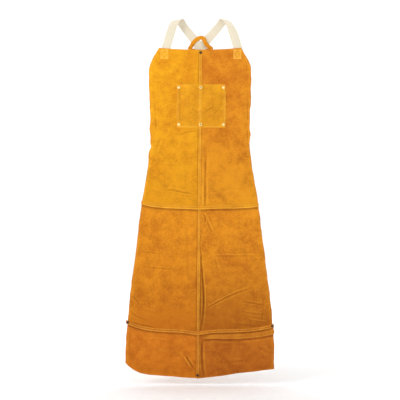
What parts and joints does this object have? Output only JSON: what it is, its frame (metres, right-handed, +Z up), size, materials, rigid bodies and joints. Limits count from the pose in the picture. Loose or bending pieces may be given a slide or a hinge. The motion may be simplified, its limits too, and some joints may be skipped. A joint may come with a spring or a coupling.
{
  "type": "welding apron",
  "caption": "Split-leather bib apron with crossed webbing shoulder straps, a riveted chest pocket, and a seamed skirt and hem that fold.",
  "frame": {"origin": "inside top of the two shoulder strap folds, where a bar or a wearer's shoulders carry the apron, midway across", "axes": "+X to the right seen from the front, +Z up along the apron, -Y out of the front of the bib and +Y towards the wearer"},
  "size_m": [0.5462, 0.0546, 1.3262],
  "materials": {
    "bib_leather": "split cowhide, napped, golden yellow",
    "skirt_leather": "split cowhide, napped, orange",
    "hem_leather": "split cowhide, napped, rust orange",
    "band_leather": "thin split leather, stitched in yellow thread",
    "cotton_webbing": "woven cotton webbing, natural cream",
    "rivet_metal": "polished, pale nickel over brass",
    "buckle_plastic": "black moulded acetal, fine grain"
  },
  "bodies": {
    "apron": {"bib_left_panel": "bib_leather", "bib_right_panel": "bib_leather", "bib_centre_strip": "band_leather", "thigh_seam_band": "band_leather", "pocket_panel": "bib_leather", "shoulder_strap_left": "cotton_webbing", "shoulder_strap_right": "cotton_webbing", "buckle_housing_left": "buckle_plastic", "buckle_housing_right": "buckle_plastic", "waist_tab_left": "cotton_webbing", "waist_tab_right": "cotton_webbing", "pocket_top_left_rivet": "rivet_metal", "pocket_top_left_rivet_ring": "rivet_metal", "pocket_top_centre_rivet": "rivet_metal", "pocket_top_centre_rivet_ring": "rivet_metal", "pocket_top_right_rivet": "rivet_metal", "pocket_top_right_rivet_ring": "rivet_metal", "pocket_bottom_left_rivet": "rivet_metal", "pocket_bottom_left_rivet_ring": "rivet_metal", "pocket_bottom_centre_rivet": "rivet_metal", "pocket_bottom_centre_rivet_ring": "rivet_metal", "pocket_bottom_right_rivet": "rivet_metal", "pocket_bottom_right_rivet_ring": "rivet_metal", "bib_top_rivet": "rivet_metal", "bib_top_rivet_ring": "rivet_metal"},
    "skirt": {"skirt_left_panel": "skirt_leather", "skirt_right_panel": "skirt_leather", "skirt_centre_strip": "band_leather", "hem_seam_band": "band_leather", "hem_seam_left_rivet": "rivet_metal", "hem_seam_left_rivet_ring": "rivet_metal", "hem_seam_right_rivet": "rivet_metal", "hem_seam_right_rivet_ring": "rivet_metal"},
    "hem": {"hem_left_panel": "hem_leather", "hem_right_panel": "hem_leather", "hem_centre_strip": "band_leather", "hem_bottom_rivet": "rivet_metal", "hem_bottom_rivet_ring": "rivet_metal"},
    "keeper": {"keeper_loop": "band_leather"},
    "clip_left": {"buckle_clip_left": "buckle_plastic"},
    "prong_left_inner": {"buckle_prong_left_inner": "buckle_plastic"},
    "prong_left_outer": {"buckle_prong_left_outer": "buckle_plastic"},
    "clip_right": {"buckle_clip_right": "buckle_plastic"},
    "prong_right_inner": {"buckle_prong_right_inner": "buckle_plastic"},
    "prong_right_outer": {"buckle_prong_right_outer": "buckle_plastic"}
  },
  "joints": [
    {"name": "skirt_fold", "type": "hinge", "parent": "apron", "child": "skirt", "pos_m": [0, -0.0235, -0.7035], "axis": [-1, 0, 0], "range_deg": [-25, 110]},
    {"name": "hem_fold", "type": "hinge", "parent": "skirt", "child": "hem", "pos_m": [0, -0.0235, -1.1635], "axis": [-1, 0, 0], "range_deg": [-35, 100]},
    {"name": "keeper_slide", "type": "slide", "parent": "apron", "child": "keeper", "axis": [0, 0.1004, 0.9949], "range_m": [-0.01, 0.012]},
    {"name": "left_clip_release", "type": "slide", "parent": "apron", "child": "clip_left", "axis": [0.4273, 0, 0.9041], "range_m": [0, 0.03], "deforming": ["shoulder_strap_right"]},
    {"name": "left_inner_prong_squeeze", "type": "hinge", "parent": "clip_left", "child": "prong_left_inner", "pos_m": [-0.10457, -0.0105, -0.36055], "axis": [0, 1, 0], "range_deg": [0, 6], "stiffness_Nm_per_rad": 0.02},
    {"name": "left_outer_prong_squeeze", "type": "hinge", "parent": "clip_left", "child": "prong_left_outer", "pos_m": [-0.13259, -0.0105, -0.3473], "axis": [0, -1, 0], "range_deg": [0, 6], "stiffness_Nm_per_rad": 0.02},
    {"name": "right_clip_release", "type": "slide", "parent": "apron", "child": "clip_right", "axis": [-0.4273, 0, 0.9041], "range_m": [0, 0.03], "deforming": ["shoulder_strap_left"]},
    {"name": "right_inner_prong_squeeze", "type": "hinge", "parent": "clip_right", "child": "prong_right_inner", "pos_m": [0.10457, -0.0105, -0.36055], "axis": [0, -1, 0], "range_deg": [0, 6], "stiffness_Nm_per_rad": 0.02},
    {"name": "right_outer_prong_squeeze", "type": "hinge", "parent": "clip_right", "child": "prong_right_outer", "pos_m": [0.13259, -0.0105, -0.3473], "axis": [0, 1, 0], "range_deg": [0, 6], "stiffness_Nm_per_rad": 0.02}
  ],
  "couplings": [
    {"joint": "left_outer_prong_squeeze", "follows": "left_inner_prong_squeeze", "ratio": 1},
    {"joint": "right_outer_prong_squeeze", "follows": "right_inner_prong_squeeze", "ratio": 1}
  ]
}
